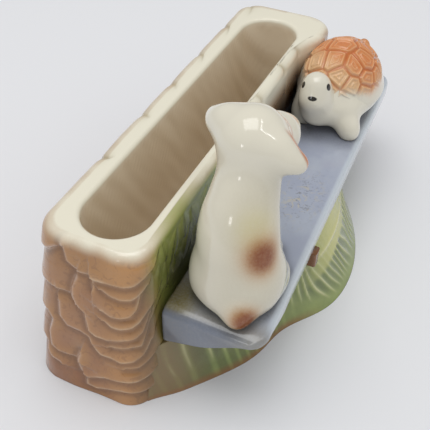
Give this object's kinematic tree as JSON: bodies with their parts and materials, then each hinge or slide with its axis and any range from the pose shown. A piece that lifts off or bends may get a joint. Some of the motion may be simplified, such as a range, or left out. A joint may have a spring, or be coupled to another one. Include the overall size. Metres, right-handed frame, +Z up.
{
  "type": "posy vase",
  "caption": "Glazed earthenware posy vase: a hollow stone-wall trough with a garden bench on a grassy bank, and a seated dog and a tortoise on the seat.",
  "frame": {"origin": "centre of the footprint of the whole vase, on the surface it stands on", "axes": "+Z up; +X along the wall from the dog to the tortoise; -Y out of the bench's front"},
  "size_m": [0.1906, 0.0924, 0.1036],
  "materials": {
    "stone_wall_glaze": "gloss glaze over airbrushed brown, cream on the rim",
    "grass_bank_glaze": "gloss glaze over airbrushed green",
    "blue_grey_glaze": "gloss glaze over airbrushed blue-grey",
    "brown_post_glaze": "gloss brown glaze",
    "cream_dog_glaze": "gloss clear glaze over cream, brown airbrushed patches",
    "orange_shell_glaze": "gloss glaze over airbrushed orange",
    "cream_tortoise_glaze": "gloss clear glaze over cream"
  },
  "bodies": {
    "root": {"wall_trough": "stone_wall_glaze", "ground_bank": "grass_bank_glaze", "bench_seat": "blue_grey_glaze", "bench_leg": "brown_post_glaze", "dog_body": "cream_dog_glaze", "dog_head": "cream_dog_glaze", "dog_ear_left": "cream_dog_glaze", "dog_ear_right": "cream_dog_glaze", "dog_tail": "cream_dog_glaze", "tortoise_shell": "orange_shell_glaze", "tortoise_body": "cream_tortoise_glaze", "tortoise_head": "cream_tortoise_glaze", "tortoise_tail": "orange_shell_glaze"}
  },
  "joints": []
}
